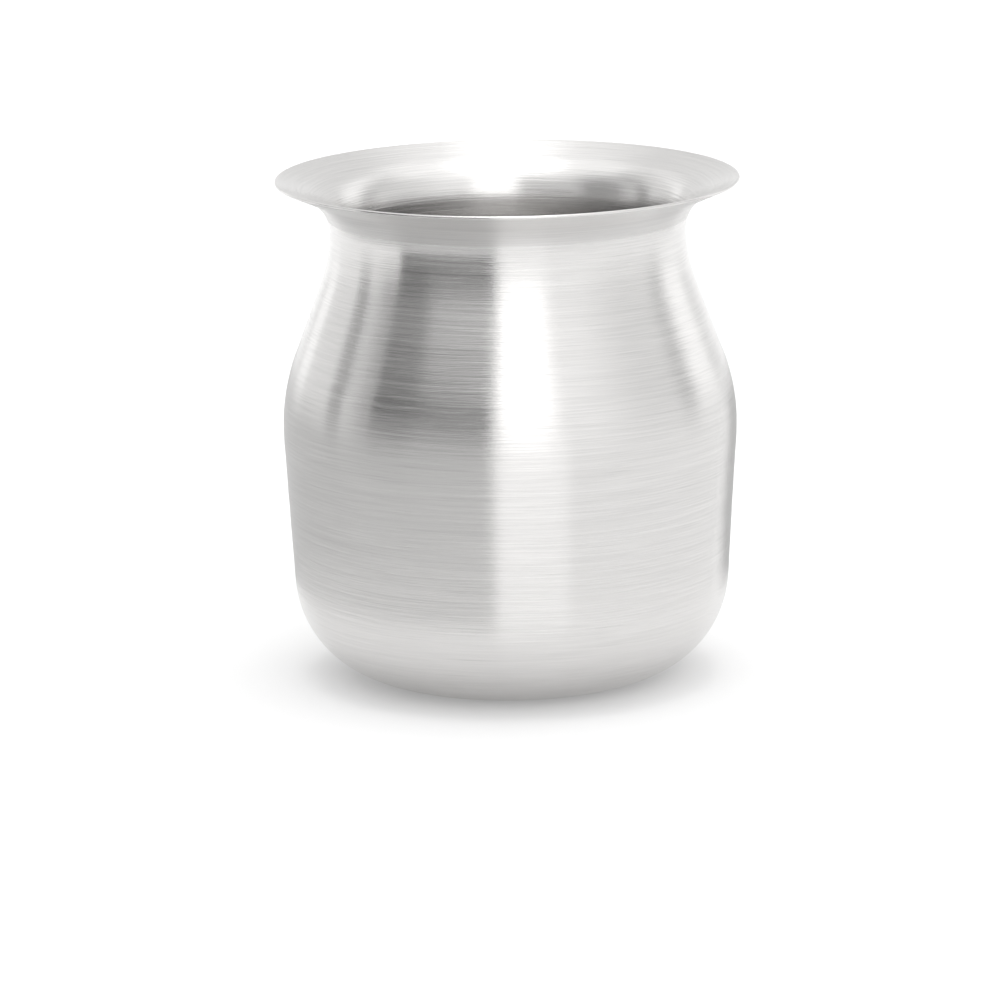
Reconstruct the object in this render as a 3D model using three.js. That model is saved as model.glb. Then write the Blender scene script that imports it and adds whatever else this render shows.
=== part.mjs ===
// Small water pot, drawn and spun from one sheet of metal.
// Millimetres, +Z up, origin at the middle of the face it stands on.
import * as THREE from 'three';

// Driving dimensions: the outer outline from the middle of the base to the lip
const sheetThickness = 0.7;
const recessRadius = 15.5;        // flat middle of the pressed base recess
const recessSlopeWidth = 3.5;     // from the recess out to the standing ring
const recessDepth = 0.8;
const standingRingWidth = 5.4;    // flat ring that the pot rests on
const heelRadius = 22.8;          // arc from the base up into the wall
const wallLean = 3.55;            // degrees that the lower wall leans outwards
const wallLength = 31.3;
const bellyRadius = 43.5;         // radius of the belly's arc, seen from the side
const shoulderLean = 20.7;        // degrees that the shoulder leans inwards
const shoulderLength = 17.0;
const neckRadius = 31.4;          // radius of the hollow arc up to the neck
const flareRadius = 8.9;          // radius of the arc from the neck out to the brim
const brimLean = 66.5;            // degrees that the brim leans outwards
const brimLength = 6.63;

// Fineness of the facets
const segmentsAround = 64;
const recessSteps = 4;
const heelSteps = 7;
const bellySteps = 5;
const neckSteps = 4;
const flareSteps = 6;
const lipSteps = 8;

const steel = new THREE.MeshStandardMaterial({
  name: 'brushed_metal',
  color: 0xc9c7c1,
  roughness: 0.32,
  metalness: 1.0,
});

const radians = THREE.MathUtils.degToRad;

// A pen that draws the wall's outline. Heading is the angle of the wall's outward
// normal: -90 looks down, 0 looks out, +90 looks up.
class WallPen {
  constructor(inset) {
    this.inset = inset;
    this.points = [];
    this.r = 0;
    this.z = 0;
  }

  mark(r, z, heading) {
    this.r = r;
    this.z = z;
    const angle = radians(heading);
    this.points.push(new THREE.Vector2(
      r - this.inset * Math.cos(angle),
      z - this.inset * Math.sin(angle),
    ));
  }

  // A straight stretch whose outward normal keeps the heading
  straight(length, heading) {
    const angle = radians(heading);
    this.mark(this.r - length * Math.sin(angle), this.z + length * Math.cos(angle), heading);
  }

  // An arc of the outer surface that turns from one heading to another
  arc(radius, from, to, steps) {
    const side = to > from ? 1 : -1;
    const middleR = this.r - side * radius * Math.cos(radians(from));
    const middleZ = this.z - side * radius * Math.sin(radians(from));
    for (let i = 1; i <= steps; i += 1) {
      const heading = from + ((to - from) * i) / steps;
      this.mark(
        middleR + side * radius * Math.cos(radians(heading)),
        middleZ + side * radius * Math.sin(radians(heading)),
        heading,
      );
    }
  }
}

// The sheet's outline from the axis to the brim's edge, moved in by the inset
function wallOutline(inset) {
  const pen = new WallPen(inset);
  pen.mark(0, recessDepth, -90);
  for (let i = 0; i <= recessSteps; i += 1) {
    const part = i / recessSteps;
    const fall = 0.5 - 0.5 * Math.cos(Math.PI * part);
    pen.mark(recessRadius + recessSlopeWidth * part, recessDepth * (1 - fall), -90);
  }
  pen.mark(pen.r + standingRingWidth, 0, -90);
  pen.arc(heelRadius, -90, -wallLean, heelSteps);
  pen.straight(wallLength, -wallLean);
  pen.arc(bellyRadius, -wallLean, shoulderLean, bellySteps);
  pen.straight(shoulderLength, shoulderLean);
  pen.arc(neckRadius, shoulderLean, 0, neckSteps);
  pen.arc(flareRadius, 0, -brimLean, flareSteps);
  pen.straight(brimLength, -brimLean);
  return pen.points;
}

// The trimmed edge of the sheet, rounded between its two faces
function lipArc(outerEnd, innerEnd) {
  const middle = outerEnd.clone().add(innerEnd).multiplyScalar(0.5);
  const spoke = outerEnd.clone().sub(middle);
  const points = [];
  for (let i = 1; i < lipSteps; i += 1) {
    const turn = (Math.PI * i) / lipSteps;
    points.push(spoke.clone().rotateAround(new THREE.Vector2(0, 0), turn).add(middle));
  }
  return points;
}

function vesselGeometry() {
  const outer = wallOutline(0);
  const inner = wallOutline(sheetThickness);
  const lip = lipArc(outer[outer.length - 1], inner[inner.length - 1]);
  const profile = [...outer, ...lip, ...inner.reverse()];
  profile[0].x = 0;
  profile[profile.length - 1].x = 0;
  const geometry = new THREE.LatheGeometry(profile, segmentsAround);
  geometry.rotateX(Math.PI / 2);
  return geometry;
}

const vessel = new THREE.Mesh(vesselGeometry(), steel);
vessel.name = 'vessel';

const pot = new THREE.Group();
pot.add(vessel);

export default pot;
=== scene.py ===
"""Looks for the small spun metal water pot: a fine revolved wall, its brushed finish, a plain studio."""

import math

import bmesh
import bpy
import numpy as np
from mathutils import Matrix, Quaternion, Vector


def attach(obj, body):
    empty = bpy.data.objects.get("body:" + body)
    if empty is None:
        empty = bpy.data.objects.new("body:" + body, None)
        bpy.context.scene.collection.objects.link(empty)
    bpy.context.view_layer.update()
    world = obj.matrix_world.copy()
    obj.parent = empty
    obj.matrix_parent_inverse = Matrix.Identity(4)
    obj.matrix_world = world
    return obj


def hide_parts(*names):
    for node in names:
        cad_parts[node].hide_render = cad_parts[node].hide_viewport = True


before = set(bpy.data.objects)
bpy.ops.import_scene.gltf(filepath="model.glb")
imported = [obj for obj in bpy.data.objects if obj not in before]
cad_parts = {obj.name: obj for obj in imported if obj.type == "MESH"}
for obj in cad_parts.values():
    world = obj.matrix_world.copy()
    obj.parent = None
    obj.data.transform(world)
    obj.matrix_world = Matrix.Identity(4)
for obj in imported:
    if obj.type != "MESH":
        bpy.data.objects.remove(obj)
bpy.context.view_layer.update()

MM = 0.001
TO_DEGREES = 180 / math.pi
WHITE = (1, 1, 1, 1)

# The wall's outline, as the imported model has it, with leans in degrees
SHEET = 0.7 * MM
RECESS_RADIUS = 15.5 * MM
RECESS_SLOPE_WIDTH = 3.5 * MM
RECESS_DEPTH = 0.8 * MM
STANDING_RING_WIDTH = 5.4 * MM
HEEL_RADIUS = 22.8 * MM
WALL_LEAN = 3.55
WALL_LENGTH = 31.3 * MM
BELLY_RADIUS = 43.5 * MM
SHOULDER_LEAN = 20.7
SHOULDER_LENGTH = 17.0 * MM
NECK_RADIUS = 31.4 * MM
FLARE_RADIUS = 8.9 * MM
BRIM_LEAN = 66.5
BRIM_LENGTH = 6.63 * MM

# How finely the wall is meshed: lengths along its outline, and at most ARC_STEP degrees of an arc
AROUND = 288
STRAIGHT_STEP = 1.0 * MM
RECESS_FLAT_STEP = 2.0 * MM
ARC_RUN_STEP = 2.0 * MM
ARC_STEP = 4.0
LEAST_ARC_STEPS = 4
RECESS_STEPS = 12
LIP_STEPS = 10

# The slight unevenness of the spun wall: it sets in above one height and dies out below another
UNEVEN_LOW = 12 * MM
UNEVEN_LOW_FADE = 30 * MM
UNEVEN_HIGH = 97 * MM
UNEVEN_HIGH_FADE = 20 * MM
SWELL_DEPTH = 0.05 * MM
RING_DEPTH = 0.03 * MM
RING_PITCH = 7.1 * MM
RING_BEAT = 31 * MM

# Swells of the wall: waves round it, strength, start in radians, and turn in radians per metre of height
SWELLS = (
    (2, 1.0, 0.6, 0),
    (3, 0.5, 0.0, 110),
    (5, 0.35, 0.0, -160),
)

# Marks of the brushing: length along the ring and width across it, then detail and seed of the noise
FINE_MARKS = dict(length=20 * MM, width=0.2 * MM, detail=3.0, seed=3.0)
BROAD_MARKS = dict(length=30 * MM, width=0.7 * MM, detail=2.0, seed=17.0)
CLOUDY_MARKS = dict(length=40 * MM, width=7 * MM, detail=2.0, seed=41.0)
DEEP_MARKS = dict(length=16 * MM, width=0.28 * MM, detail=1.0, seed=71.0)
MARK_ROUGHNESS = 0.6

# The marks wander along the wall by this much, over patches of this fineness
DRIFT_REACH = 2.2 * MM
DRIFT_SCALE = 14.0
DRIFT_DETAIL = 1.0

# Only noise above this level cuts a deep scratch, and the gain brings it to full depth
DEEP_LEVEL = 0.64
DEEP_GAIN = 4.0

# The smoother finish under the flare: how far it reaches along the wall from the lip, its soft
# edges, and the share of the relief that it takes away
FLARE_BAND = 13.5 * MM
FLARE_SOFT_LOW = 0.4 * MM
FLARE_SOFT_LIP = 0.3 * MM
FLARE_SMOOTHING = 0.6

# The metal's relief, shade and roughness, and how much each kind of mark moves them
RELIEF_DEPTH = 0.03 * MM
FINE_RELIEF = 1.0
BROAD_RELIEF = 1.6
DEEP_RELIEF = 0.7
SHADE = 0.70
FINE_SHADE = 0.20
BROAD_SHADE = 0.10
CLOUDY_SHADE = 0.05
DEEP_SHADE = 0.10
GREEN_SHARE = 0.988
BLUE_SHARE = 0.976
ROUGHNESS = 0.235
BROAD_ROUGHNESS = 0.10
CLOUDY_ROUGHNESS = 0.06
FLARE_ROUGHNESS = 0.16
ANISOTROPY = 0.95
QUARTER_TURN = 0.25

# The floor: half its width, how far it lies under the standing ring, its paint, and its glow in the
# camera's view and in reflections
FLOOR_HALF = 4.0
FLOOR_DROP = 0.05 * MM
FLOOR_PAINT = 0.72
FLOOR_GLOW = 0.21

# The far studio: azimuth in degrees from the front, right is positive, then elevation, the softness
# of both pairs of edges, and the brightness that the patch replaces the grey with
STUDIO_GREY = 0.93
STUDIO_PATCHES = {
    "left_wall": ((-76, -50), (-30, 62), (24, 6), (10, 20), 0.40),
    "left_pale_wall": ((-50, -8), (-30, 62), (6, 1.5), (10, 20), 0.74),
    "right_glow": ((22, 36), (-60, 70), (2, 44), (8, 20), 1.18),
    "front_low_glow": ((-6, 22), (-70, 8), (1.5, 2.0), (8, 3), 1.22),
    "front_softbox": ((-6, 22), (11, 62), (1.5, 2.0), (3, 12), 1.95),
    "overhead_lamp": ((-181, 181), (56, 91), (1, 1), (14, 1), 1.40),
    "top_lamp": ((-181, 181), (78, 91), (1, 1), (7, 1), 4.0),
    "left_strip": ((-107, -99), (-20, 45), (3, 3), (8, 8), 0.42),
    "right_strip": ((103, 109), (-20, 45), (3, 3), (8, 8), 0.60),
    "right_back_lamp": ((118, 134), (-20, 60), (5, 5), (8, 8), 1.35),
    "left_back_lamp": ((-146, -138), (-20, 60), (4, 4), (8, 8), 1.3),
}

# Flags and reflectors close to the pot, which only its reflections show: azimuth, height in mm,
# distance from the axis in mm, softness of the side edges and of the top and bottom, brightness
NEAR_CARDS = {
    "flag_dark": ((-60, -7), (74, 105), 112, (2, 0.6), (6, 4), 0.09),
    "flag_low": ((-150, -7), (0, 56), 100, (18, 0.8), (1, 12), 0.68),
    "reflector_front": ((-6, 22), (0, 58), 98, (0.8, 1.5), (1, 10), 1.22),
    "reflector_right": ((22, 105), (0, 58), 100, (1.5, 14), (1, 14), 1.05),
    "flag_right": ((126, 165), (0, 50), 104, (14, 10), (1, 14), 0.60),
}
CARD_STEPS = 24
LOWEST_CARD_MM = 0.2

# The camera, worked out from the photograph: degrees, metres, sensor in mm, focal length in pixels
VIEW_ELEVATION = 12.63
VIEW_DISTANCE = 1.2975
VIEW_TARGET_Z = 0.0380
VIEW_SHIFT_X = -0.0024
VIEW_ROLL = 0.74
CLIP_NEAR = 0.01
CLIP_FAR = 50
SENSOR = 36.0
FRAME_WIDTH = 1000
FOCAL_PIXELS = 5968


class WallPen:
    """Draws the wall's outline. Heading is the angle of the outward normal: -90 down, 0 out, 90 up."""

    def __init__(self, inset):
        self.inset = inset
        self.r = 0.0
        self.z = 0.0
        self.points = []

    def mark(self, r, z, heading):
        self.r = r
        self.z = z
        angle = math.radians(heading)
        self.points.append((r - self.inset * math.cos(angle), z - self.inset * math.sin(angle)))

    def straight(self, length, heading):
        """A straight stretch whose outward normal keeps the heading."""
        steps = max(1, round(length / STRAIGHT_STEP))
        angle = math.radians(heading)
        start_r, start_z = self.r, self.z
        for i in range(1, steps + 1):
            run = length * i / steps
            self.mark(start_r - run * math.sin(angle), start_z + run * math.cos(angle), heading)

    def arc(self, radius, start, end):
        """An arc of the outer surface that turns from one heading to another."""
        side = 1 if end > start else -1
        middle_r = self.r - side * radius * math.cos(math.radians(start))
        middle_z = self.z - side * radius * math.sin(math.radians(start))
        run_step = math.degrees(ARC_RUN_STEP / radius)
        steps = max(LEAST_ARC_STEPS, round(abs(end - start) / min(ARC_STEP, run_step)))
        for i in range(1, steps + 1):
            heading = start + (end - start) * i / steps
            angle = math.radians(heading)
            r = middle_r + side * radius * math.cos(angle)
            z = middle_z + side * radius * math.sin(angle)
            self.mark(r, z, heading)


def wall_outline(inset):
    """The sheet's outline from the axis to the brim's edge, moved in by the inset."""
    pen = WallPen(inset)
    pen.mark(0, RECESS_DEPTH, -90)
    flat_steps = round(RECESS_RADIUS / RECESS_FLAT_STEP)
    for i in range(1, flat_steps):
        pen.mark(RECESS_RADIUS * i / flat_steps, RECESS_DEPTH, -90)
    for i in range(RECESS_STEPS + 1):
        part = i / RECESS_STEPS
        fall = 0.5 - 0.5 * math.cos(math.pi * part)
        pen.mark(RECESS_RADIUS + RECESS_SLOPE_WIDTH * part, RECESS_DEPTH * (1 - fall), -90)
    pen.straight(STANDING_RING_WIDTH, -90)
    pen.arc(HEEL_RADIUS, -90, -WALL_LEAN)
    pen.straight(WALL_LENGTH, -WALL_LEAN)
    pen.arc(BELLY_RADIUS, -WALL_LEAN, SHOULDER_LEAN)
    pen.straight(SHOULDER_LENGTH, SHOULDER_LEAN)
    pen.arc(NECK_RADIUS, SHOULDER_LEAN, 0)
    pen.arc(FLARE_RADIUS, 0, -BRIM_LEAN)
    pen.straight(BRIM_LENGTH, -BRIM_LEAN)
    return np.array(pen.points)


def lip_arc(outer_end, inner_end):
    """The trimmed edge of the sheet, rounded between its two faces."""
    middle = (outer_end + inner_end) / 2
    spoke = outer_end - middle
    turns = math.pi * np.arange(1, LIP_STEPS) / LIP_STEPS
    across = np.array([-spoke[1], spoke[0]])
    return middle + np.outer(np.cos(turns), spoke) + np.outer(np.sin(turns), across)


def unevenness(angle, z):
    """How far the spun wall dips inwards: slow swells round it, and shallow rings left by the roller."""
    above = np.clip((z - UNEVEN_LOW) / UNEVEN_LOW_FADE, 0, 1)
    below = np.clip((UNEVEN_HIGH - z) / UNEVEN_HIGH_FADE, 0, 1)
    swell = 0
    for waves, strength, start, turn in SWELLS:
        swell += strength * (1 + np.sin(waves * angle + start + turn * z))
    ring = 1 + math.sin(2 * math.pi * z / RING_PITCH) * math.sin(2 * math.pi * z / RING_BEAT)
    return above * below * (SWELL_DEPTH * swell + RING_DEPTH * ring)


def vessel_mesh():
    """The revolved wall, the length of its whole outline, and the length up to the outer lip edge."""
    outer = wall_outline(0)
    inner = wall_outline(SHEET)[::-1]
    lip = lip_arc(outer[-1], inner[0])
    profile = np.vstack([outer, lip, inner])
    steps = np.hypot(*np.diff(profile, axis=0).T)
    run = np.concatenate([[0], np.cumsum(steps)])
    share = run / run[-1]

    mesh = bpy.data.meshes.new("pot_wall")
    bm = bmesh.new()
    uv = bm.loops.layers.uv.new("OFBake")
    low_pole = bm.verts.new((0, 0, profile[0][1]))
    high_pole = bm.verts.new((0, 0, profile[-1][1]))
    angles = 2 * math.pi * np.arange(AROUND) / AROUND
    grid = []
    for r, z in profile[1:-1]:
        radii = r - unevenness(angles, z)
        ring = [bm.verts.new((q * math.sin(a), -q * math.cos(a), z)) for q, a in zip(radii, angles)]
        grid.append(ring)

    def face(*corners):
        """Each corner is a vertex and its place on the UV map."""
        made = bm.faces.new([corner[0] for corner in corners])
        made.smooth = True
        for loop, corner in zip(made.loops, corners):
            loop[uv].uv = corner[1:]

    for k in range(AROUND):
        after = (k + 1) % AROUND
        left = k / AROUND
        right = (k + 1) / AROUND
        middle = (left + right) / 2
        face(
            (low_pole, middle, share[0]),
            (grid[0][after], right, share[1]),
            (grid[0][k], left, share[1]),
        )
        for i in range(len(grid) - 1):
            face(
                (grid[i][k], left, share[i + 1]),
                (grid[i][after], right, share[i + 1]),
                (grid[i + 1][after], right, share[i + 2]),
                (grid[i + 1][k], left, share[i + 2]),
            )
        face(
            (high_pole, middle, share[-1]),
            (grid[-1][k], left, share[-2]),
            (grid[-1][after], right, share[-2]),
        )
    bm.normal_update()
    bm.to_mesh(mesh)
    bm.free()
    return mesh, run[-1], run[len(outer) - 1]


class Nodes:
    """Adds nodes to a tree and links them."""

    def __init__(self, tree):
        self.tree = tree

    def add(self, kind, inputs=None, **settings):
        node = self.tree.nodes.new(kind)
        for name, value in settings.items():
            setattr(node, name, value)
        for name, value in (inputs or {}).items():
            self.feed(value, node.inputs[name])
        return node

    def feed(self, value, socket):
        if isinstance(value, bpy.types.NodeSocket):
            self.tree.links.new(value, socket)
        else:
            socket.default_value = value

    def calc(self, operation, *values, clamp=False):
        node = self.add("ShaderNodeMath", operation=operation, use_clamp=clamp)
        for value, socket in zip(values, node.inputs):
            self.feed(value, socket)
        return node.outputs[0]

    def band(self, value, low, high, soft_low, soft_high):
        """1 between low and high, falling to 0 over the soft widths."""
        rise = self.add("ShaderNodeMapRange", interpolation_type="SMOOTHSTEP")
        fall = self.add("ShaderNodeMapRange", interpolation_type="SMOOTHSTEP")
        for node, ends in ((rise, (low - soft_low, low)), (fall, (high + soft_high, high))):
            self.feed(value, node.inputs["Value"])
            node.inputs["From Min"].default_value = ends[0]
            node.inputs["From Max"].default_value = ends[1]
        return self.calc("MULTIPLY", rise.outputs[0], fall.outputs[0])

    def patch(self, azimuth, height, wide, tall, soft_wide, soft_tall):
        """1 inside a patch of the studio, falling to 0 over its soft edges."""
        across = self.band(azimuth, *wide, *soft_wide)
        up = self.band(height, *tall, *soft_tall)
        return self.calc("MULTIPLY", across, up)

    def azimuth(self, axes):
        """Degrees round the pot from the front, with right as positive."""
        towards = self.calc("MULTIPLY", axes.outputs["Y"], -1.0)
        return self.calc("MULTIPLY", self.calc("ARCTAN2", axes.outputs["X"], towards), TO_DEGREES)

    def sway(self, base, *pairs):
        """A base value that noises move up and down, each by the amount that comes with it."""
        for noise, amount in pairs:
            base = self.calc("MULTIPLY_ADD", self.calc("SUBTRACT", noise, 0.5), amount, base)
        return base


def fresh_nodes(owner):
    """Turns on the nodes of a material or world, and starts with an empty tree."""
    owner.use_nodes = True
    owner.node_tree.nodes.clear()
    return Nodes(owner.node_tree)


def add_object(name, data):
    made = bpy.data.objects.new(name, data)
    bpy.context.scene.collection.objects.link(made)
    return made


def streaks(n, position, run, length, width, detail, seed):
    """Noise drawn out round the axis: marks of that length along the ring and that width across it."""
    axes = n.add("ShaderNodeSeparateXYZ", {"Vector": position})
    spread = n.add("ShaderNodeCombineXYZ", {
        "X": n.calc("MULTIPLY", axes.outputs["X"], 1 / length),
        "Y": n.calc("MULTIPLY", axes.outputs["Y"], 1 / length),
        "Z": n.calc("MULTIPLY_ADD", run, 1 / width, seed),
    })
    noise = n.add("ShaderNodeTexNoise", {
        "Vector": spread.outputs[0],
        "Scale": 1.0,
        "Detail": detail,
        "Roughness": MARK_ROUGHNESS,
    })
    return noise.outputs["Fac"]


def brushed_metal(total_run, lip_run):
    """Metal brushed in rings round the axis, with marks as fine on the brim as on the belly."""
    material = bpy.data.materials.new("brushed_metal")
    n = fresh_nodes(material)
    position = n.add("ShaderNodeTexCoord").outputs["Object"]
    uv = n.add("ShaderNodeUVMap", uv_map="OFBake")
    split = n.add("ShaderNodeSeparateXYZ", {"Vector": uv.outputs[0]})
    run = n.calc("MULTIPLY", split.outputs["Y"], total_run)
    drift = n.add("ShaderNodeTexNoise", {
        "Vector": position,
        "Scale": DRIFT_SCALE,
        "Detail": DRIFT_DETAIL,
    })
    tilted = n.calc("MULTIPLY_ADD", drift.outputs["Fac"], DRIFT_REACH, run)

    fine = streaks(n, position, tilted, **FINE_MARKS)
    broad = streaks(n, position, tilted, **BROAD_MARKS)
    cloudy = streaks(n, position, run, **CLOUDY_MARKS)
    deep_noise = streaks(n, position, tilted, **DEEP_MARKS)
    deep = n.calc("MULTIPLY", n.calc("SUBTRACT", deep_noise, DEEP_LEVEL), DEEP_GAIN, clamp=True)
    flare = n.band(run, lip_run - FLARE_BAND, lip_run, FLARE_SOFT_LOW, FLARE_SOFT_LIP)

    relief = n.sway(0.0, (fine, FINE_RELIEF), (broad, BROAD_RELIEF))
    relief = n.calc("SUBTRACT", relief, n.calc("MULTIPLY", deep, DEEP_RELIEF))
    relief = n.calc("MULTIPLY", relief, n.calc("MULTIPLY_ADD", flare, -FLARE_SMOOTHING, 1.0))
    bump = n.add("ShaderNodeBump", {"Strength": 1.0, "Distance": RELIEF_DEPTH, "Height": relief})

    shade = n.sway(SHADE, (fine, FINE_SHADE), (broad, BROAD_SHADE), (cloudy, CLOUDY_SHADE))
    shade = n.calc("SUBTRACT", shade, n.calc("MULTIPLY", deep, DEEP_SHADE))
    colour = n.add("ShaderNodeCombineColor", {
        "Red": shade,
        "Green": n.calc("MULTIPLY", shade, GREEN_SHARE),
        "Blue": n.calc("MULTIPLY", shade, BLUE_SHARE),
    })

    rough = n.sway(ROUGHNESS, (broad, BROAD_ROUGHNESS), (cloudy, CLOUDY_ROUGHNESS))
    rough = n.calc("MULTIPLY_ADD", flare, FLARE_ROUGHNESS, rough)

    tangent = n.add("ShaderNodeTangent", direction_type="RADIAL", axis="Z")
    shader = n.add("ShaderNodeBsdfPrincipled", {
        "Base Color": colour.outputs[0],
        "Metallic": 1.0,
        "Roughness": rough,
        "Anisotropic": ANISOTROPY,
        "Anisotropic Rotation": QUARTER_TURN,
        "Tangent": tangent.outputs[0],
        "Normal": bump.outputs[0],
    })
    n.add("ShaderNodeOutputMaterial", {"Surface": shader.outputs[0]})
    return material


def make_vessel():
    mesh, total_run, lip_run = vessel_mesh()
    pot = add_object("pot_wall", mesh)
    mesh.materials.append(brushed_metal(total_run, lip_run))
    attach(pot, "root")
    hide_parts("vessel")


def floor_white():
    """White paint, with a glow that only the camera, reflections and clear surfaces see."""
    material = bpy.data.materials.new("floor_white")
    n = fresh_nodes(material)
    path = n.add("ShaderNodeLightPath")
    seen = n.calc("MAXIMUM", path.outputs["Is Camera Ray"], path.outputs["Is Glossy Ray"])
    seen = n.calc("MAXIMUM", seen, path.outputs["Is Transmission Ray"])
    paint = n.add("ShaderNodeBsdfDiffuse", {"Color": (FLOOR_PAINT, FLOOR_PAINT, FLOOR_PAINT, 1)})
    glow = n.add("ShaderNodeEmission", {"Color": WHITE, "Strength": n.calc("MULTIPLY", seen, FLOOR_GLOW)})
    both = n.add("ShaderNodeAddShader", {0: paint.outputs[0], 1: glow.outputs[0]})
    n.add("ShaderNodeOutputMaterial", {"Surface": both.outputs[0]})
    return material


def make_floor():
    """A wide white floor: it keeps the pot's shadow, and shows white where nothing shades it."""
    corners = [
        (-FLOOR_HALF, -FLOOR_HALF, 0),
        (FLOOR_HALF, -FLOOR_HALF, 0),
        (FLOOR_HALF, FLOOR_HALF, 0),
        (-FLOOR_HALF, FLOOR_HALF, 0),
    ]
    mesh = bpy.data.meshes.new("floor")
    mesh.from_pydata(corners, [], [(0, 1, 2, 3)])
    mesh.materials.append(floor_white())
    floor = add_object("floor", mesh)
    floor.location.z = -FLOOR_DROP


def card_glow(name, wide, tall, soft_wide, soft_tall, brightness):
    """An even glow that fades to clear at the card's soft edges."""
    material = bpy.data.materials.new(name)
    n = fresh_nodes(material)
    place = n.add("ShaderNodeTexCoord").outputs["Object"]
    axes = n.add("ShaderNodeSeparateXYZ", {"Vector": place})
    height = n.calc("MULTIPLY", axes.outputs["Z"], 1 / MM)
    share = n.patch(n.azimuth(axes), height, wide, tall, soft_wide, soft_tall)
    clear = n.add("ShaderNodeBsdfTransparent")
    glow = n.add("ShaderNodeEmission", {"Color": WHITE, "Strength": brightness})
    both = n.add("ShaderNodeMixShader", {0: share, 1: clear.outputs[0], 2: glow.outputs[0]})
    n.add("ShaderNodeOutputMaterial", {"Surface": both.outputs[0]})
    return material


def make_card(name, wide, tall, distance, soft_wide, soft_tall, brightness):
    """A curved card round the pot, with soft edges, seen only in reflections."""
    left = wide[0] - soft_wide[0]
    right = wide[1] + soft_wide[1]
    low = max(LOWEST_CARD_MM, tall[0] - soft_tall[0])
    high = tall[1] + soft_tall[1]
    points = []
    for i in range(CARD_STEPS + 1):
        angle = math.radians(left + (right - left) * i / CARD_STEPS)
        for z in (low, high):
            points.append((distance * MM * math.sin(angle), -distance * MM * math.cos(angle), z * MM))
    faces = [(2 * i, 2 * i + 2, 2 * i + 3, 2 * i + 1) for i in range(CARD_STEPS)]
    mesh = bpy.data.meshes.new(name)
    mesh.from_pydata(points, [], faces)
    mesh.materials.append(card_glow(name, wide, tall, soft_wide, soft_tall, brightness))
    card = add_object(name, mesh)
    card.visible_camera = False
    card.visible_diffuse = False
    card.visible_shadow = False
    card.visible_transmission = False


def make_world():
    """A pale studio, with darker walls and white lamps that the metal shows. The camera sees plain white."""
    world = bpy.data.worlds.new("studio")
    bpy.context.scene.world = world
    n = fresh_nodes(world)
    way = n.add("ShaderNodeTexCoord").outputs["Generated"]
    axes = n.add("ShaderNodeSeparateXYZ", {"Vector": way})
    azimuth = n.azimuth(axes)
    elevation = n.calc("MULTIPLY", n.calc("ARCSINE", axes.outputs["Z"]), TO_DEGREES)
    level = STUDIO_GREY
    for wide, tall, soft_wide, soft_tall, brightness in STUDIO_PATCHES.values():
        share = n.patch(azimuth, elevation, wide, tall, soft_wide, soft_tall)
        kept = n.calc("MULTIPLY", n.calc("SUBTRACT", 1.0, share), level)
        level = n.calc("MULTIPLY_ADD", share, brightness, kept)
    to_camera = n.add("ShaderNodeLightPath").outputs["Is Camera Ray"]
    hidden = n.calc("SUBTRACT", 1.0, to_camera)
    strength = n.calc("MULTIPLY_ADD", level, hidden, to_camera)
    sky = n.add("ShaderNodeBackground", {"Color": WHITE, "Strength": strength})
    n.add("ShaderNodeOutputWorld", {"Surface": sky.outputs[0]})


def make_camera():
    data = bpy.data.cameras.new("camera")
    data.sensor_width = SENSOR
    data.lens = SENSOR * FOCAL_PIXELS / FRAME_WIDTH
    data.clip_start = CLIP_NEAR
    data.clip_end = CLIP_FAR
    camera = add_object("camera", data)
    elevation = math.radians(VIEW_ELEVATION)
    back = Vector((0, -math.cos(elevation), math.sin(elevation)))
    camera.location = Vector((VIEW_SHIFT_X, 0, VIEW_TARGET_Z)) + back * VIEW_DISTANCE
    camera.rotation_mode = "QUATERNION"
    level = (-back).to_track_quat("-Z", "Y")
    camera.rotation_quaternion = level @ Quaternion((0, 0, 1), -math.radians(VIEW_ROLL))
    bpy.context.scene.camera = camera


scene = bpy.context.scene
scene.view_settings.view_transform = "Standard"
make_camera()
make_world()
make_floor()
for name, card in NEAR_CARDS.items():
    make_card(name, *card)
make_vessel()
